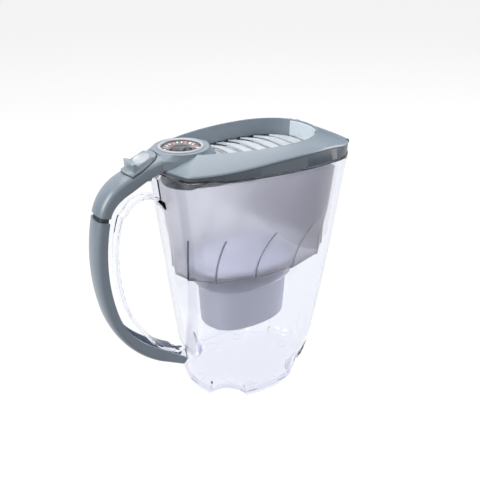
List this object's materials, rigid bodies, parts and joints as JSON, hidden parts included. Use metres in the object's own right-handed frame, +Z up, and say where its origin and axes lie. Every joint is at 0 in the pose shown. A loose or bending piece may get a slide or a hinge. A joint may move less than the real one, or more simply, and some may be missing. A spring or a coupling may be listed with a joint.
{
  "type": "water filter pitcher",
  "caption": "Clear table-top water filter pitcher with a drop-in oval filter cartridge in a funnel, a louvred fill lid worked by a thumb slider, a hinged spout flap and a dial counter.",
  "frame": {"origin": "middle of the underside of the jug's base, on the table", "axes": "+X towards the spout, +Y towards the left side seen from the handle, +Z up"},
  "size_m": [0.2582, 0.122, 0.2565],
  "materials": {
    "clear_plastic": "clear polished",
    "slate_plastic": "satin slate blue-grey",
    "light_slate_plastic": "satin light slate",
    "dark_plastic": "matt",
    "white_plastic": "satin translucent white",
    "dial_white": "satin",
    "dial_black": "matt",
    "spring_orange": "matt",
    "lens_clear": "clear polished",
    "bright_ring": "satin silver",
    "lilac_plastic": "tinted transparent",
    "milky_plastic": "milky translucent",
    "filter_media": "granular",
    "filter_felt": "felt",
    "seal_rubber": "soft"
  },
  "bodies": {
    "jug": {"jug_body": "clear_plastic", "handle_grip": "slate_plastic"},
    "funnel": {"funnel": "lilac_plastic"},
    "cartridge": {"cartridge_shell": "milky_plastic", "cartridge_grate": "milky_plastic", "cartridge_media": "filter_media", "cartridge_screen": "filter_felt", "cartridge_cap": "milky_plastic", "cartridge_seal": "seal_rubber"},
    "lid": {"lid_shell": "slate_plastic", "lid_tray": "dark_plastic", "well_front_screen": "white_plastic", "counter_cup": "dark_plastic", "counter_scale": "dial_white", "counter_click_spring": "spring_orange", "counter_lens": "lens_clear", "counter_ring": "bright_ring"},
    "slider": {"thumb_slider": "light_slate_plastic"},
    "bar": {"shutter_bar": "white_plastic"},
    "flap": {"spout_flap": "slate_plastic"},
    "pointer": {"counter_pointer": "dial_black", "counter_ratchet": "white_plastic"},
    "slat_1": {"shutter_slat_1": "white_plastic"},
    "slat_2": {"shutter_slat_2": "white_plastic"},
    "slat_3": {"shutter_slat_3": "white_plastic"},
    "slat_4": {"shutter_slat_4": "white_plastic"},
    "slat_5": {"shutter_slat_5": "white_plastic"},
    "slat_6": {"shutter_slat_6": "white_plastic"},
    "slat_7": {"shutter_slat_7": "white_plastic"}
  },
  "joints": [
    {"name": "funnel_lift", "type": "slide", "parent": "jug", "child": "funnel", "axis": [0, 0, 1], "range_m": [0, 0.06]},
    {"name": "lid_lift", "type": "slide", "parent": "funnel", "child": "lid", "axis": [0, 0, 1], "range_m": [0, 0.06]},
    {"name": "cartridge_lift", "type": "slide", "parent": "funnel", "child": "cartridge", "axis": [0, 0, 1], "range_m": [0, 0.05]},
    {"name": "thumb_slide", "type": "slide", "parent": "lid", "child": "slider", "axis": [-0.9164, 0, -0.4003], "range_m": [0, 0.01109]},
    {"name": "bar_slide", "type": "slide", "parent": "lid", "child": "bar", "axis": [-1, 0, 0], "range_m": [0, 0.01016]},
    {"name": "flap_hinge", "type": "hinge", "parent": "lid", "child": "flap", "pos_m": [0.0912, 0, 0.2432], "axis": [0, -1, 0], "range_deg": [0, 60]},
    {"name": "pointer_spin", "type": "hinge", "parent": "lid", "child": "pointer", "pos_m": [-0.0635, 0, 0.25], "axis": [0, 0, 1], "continuous": true},
    {"name": "slat_hinge_1", "type": "hinge", "parent": "lid", "child": "slat_1", "pos_m": [-0.02336, 0, 0.2348], "axis": [0, 1, 0], "range_deg": [0, 55.02]},
    {"name": "slat_hinge_2", "type": "hinge", "parent": "lid", "child": "slat_2", "pos_m": [-0.00956, 0, 0.2348], "axis": [0, 1, 0], "range_deg": [0, 55.02]},
    {"name": "slat_hinge_3", "type": "hinge", "parent": "lid", "child": "slat_3", "pos_m": [0.00424, 0, 0.2348], "axis": [0, 1, 0], "range_deg": [0, 55.02]},
    {"name": "slat_hinge_4", "type": "hinge", "parent": "lid", "child": "slat_4", "pos_m": [0.01804, 0, 0.2348], "axis": [0, 1, 0], "range_deg": [0, 55.02]},
    {"name": "slat_hinge_5", "type": "hinge", "parent": "lid", "child": "slat_5", "pos_m": [0.03184, 0, 0.2348], "axis": [0, 1, 0], "range_deg": [0, 55.02]},
    {"name": "slat_hinge_6", "type": "hinge", "parent": "lid", "child": "slat_6", "pos_m": [0.04564, 0, 0.2348], "axis": [0, 1, 0], "range_deg": [0, 55.02]},
    {"name": "slat_hinge_7", "type": "hinge", "parent": "lid", "child": "slat_7", "pos_m": [0.05944, 0, 0.2348], "axis": [0, 1, 0], "range_deg": [0, 55.02]}
  ],
  "couplings": [
    {"joint": "bar_slide", "follows": "thumb_slide", "ratio": 0.91636},
    {"joint": "slat_hinge_1", "follows": "thumb_slide", "rad_per_m": 86.592},
    {"joint": "slat_hinge_2", "follows": "thumb_slide", "rad_per_m": 86.592},
    {"joint": "slat_hinge_3", "follows": "thumb_slide", "rad_per_m": 86.592},
    {"joint": "slat_hinge_4", "follows": "thumb_slide", "rad_per_m": 86.592},
    {"joint": "slat_hinge_5", "follows": "thumb_slide", "rad_per_m": 86.592},
    {"joint": "slat_hinge_6", "follows": "thumb_slide", "rad_per_m": 86.592},
    {"joint": "slat_hinge_7", "follows": "thumb_slide", "rad_per_m": 86.592}
  ]
}
